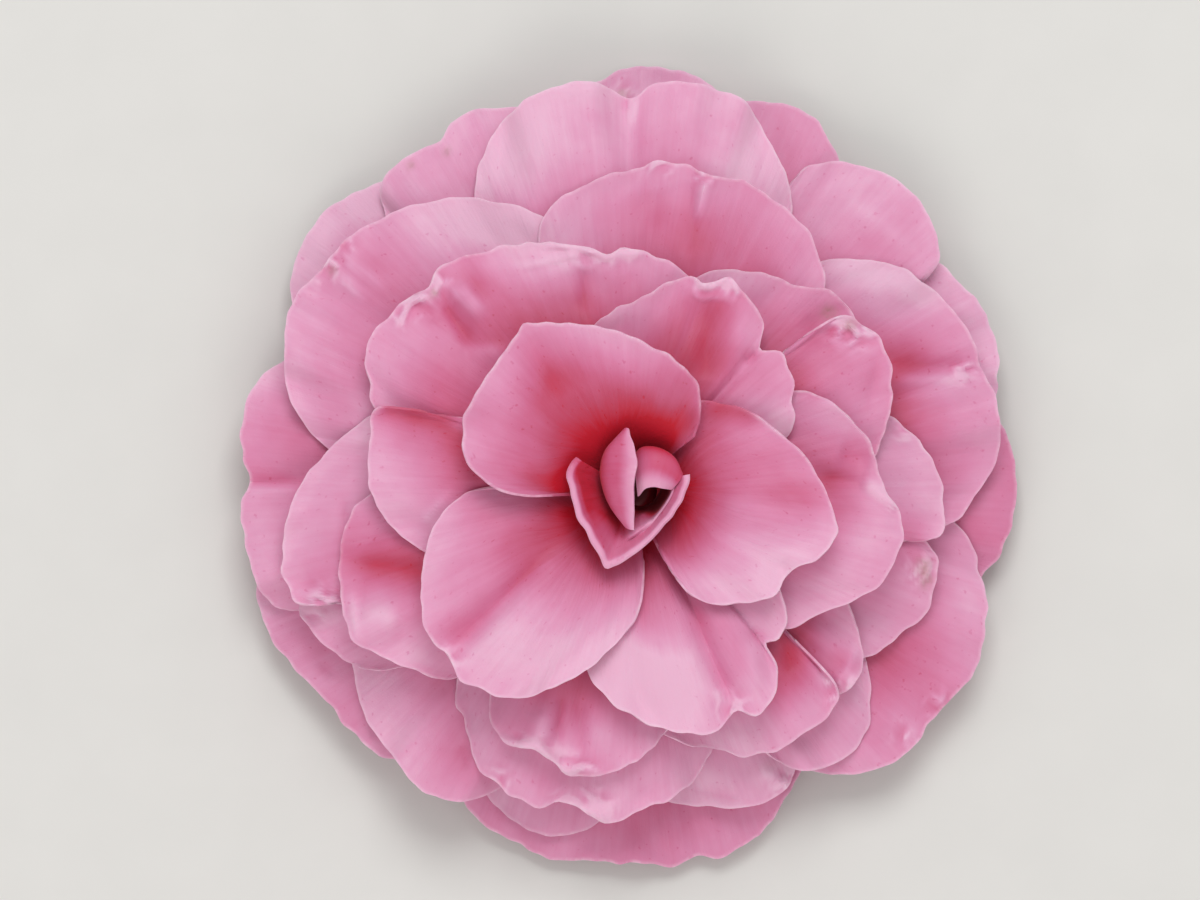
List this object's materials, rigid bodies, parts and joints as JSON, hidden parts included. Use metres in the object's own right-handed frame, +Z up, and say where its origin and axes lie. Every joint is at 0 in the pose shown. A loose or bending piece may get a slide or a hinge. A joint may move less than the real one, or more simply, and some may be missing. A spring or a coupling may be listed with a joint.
{
  "type": "camellia flower",
  "caption": "Cut double camellia bloom with overlapping rounded petals round a small unopened eye, lying face up on its short cut stalk.",
  "frame": {"origin": "middle of the flat cut under the calyx, which the bloom rests on", "axes": "+Z up along the axis of the bloom, +X to the right and +Y to the top of the view down onto it"},
  "size_m": [0.0986, 0.1015, 0.03],
  "materials": {
    "petals": "soft matt petal, pink with paler margins",
    "eye": "soft matt petal, crimson with a pale margin",
    "calyx": "smooth green sepals and stalk"
  },
  "bodies": {
    "root": {"calyx": "calyx", "inner_petal_1": "petals", "inner_petal_2": "petals", "inner_petal_3": "petals", "inner_petal_4": "petals", "inner_petal_5": "petals", "inner_petal_6": "petals", "inner_petal_7": "petals", "middle_petal_1": "petals", "middle_petal_2": "petals", "middle_petal_3": "petals", "middle_petal_4": "petals", "middle_petal_5": "petals", "middle_petal_6": "petals", "middle_petal_7": "petals", "middle_petal_8": "petals", "middle_petal_9": "petals", "middle_petal_10": "petals", "middle_petal_11": "petals", "middle_petal_12": "petals", "outer_petal_1": "petals", "outer_petal_2": "petals", "outer_petal_3": "petals", "outer_petal_4": "petals", "outer_petal_5": "petals", "outer_petal_6": "petals", "outer_petal_7": "petals", "outer_petal_8": "petals", "outer_petal_9": "petals", "outer_petal_10": "petals", "outer_petal_11": "petals", "outer_petal_12": "petals", "outer_petal_13": "petals", "outer_petal_14": "petals", "outer_petal_15": "petals", "outer_petal_16": "petals", "outer_petal_17": "petals", "outer_petal_18": "petals", "outer_petal_19": "petals", "eye_petal_cup": "eye", "eye_petal_leaf": "eye", "eye_petal_hood": "eye"}
  },
  "joints": []
}
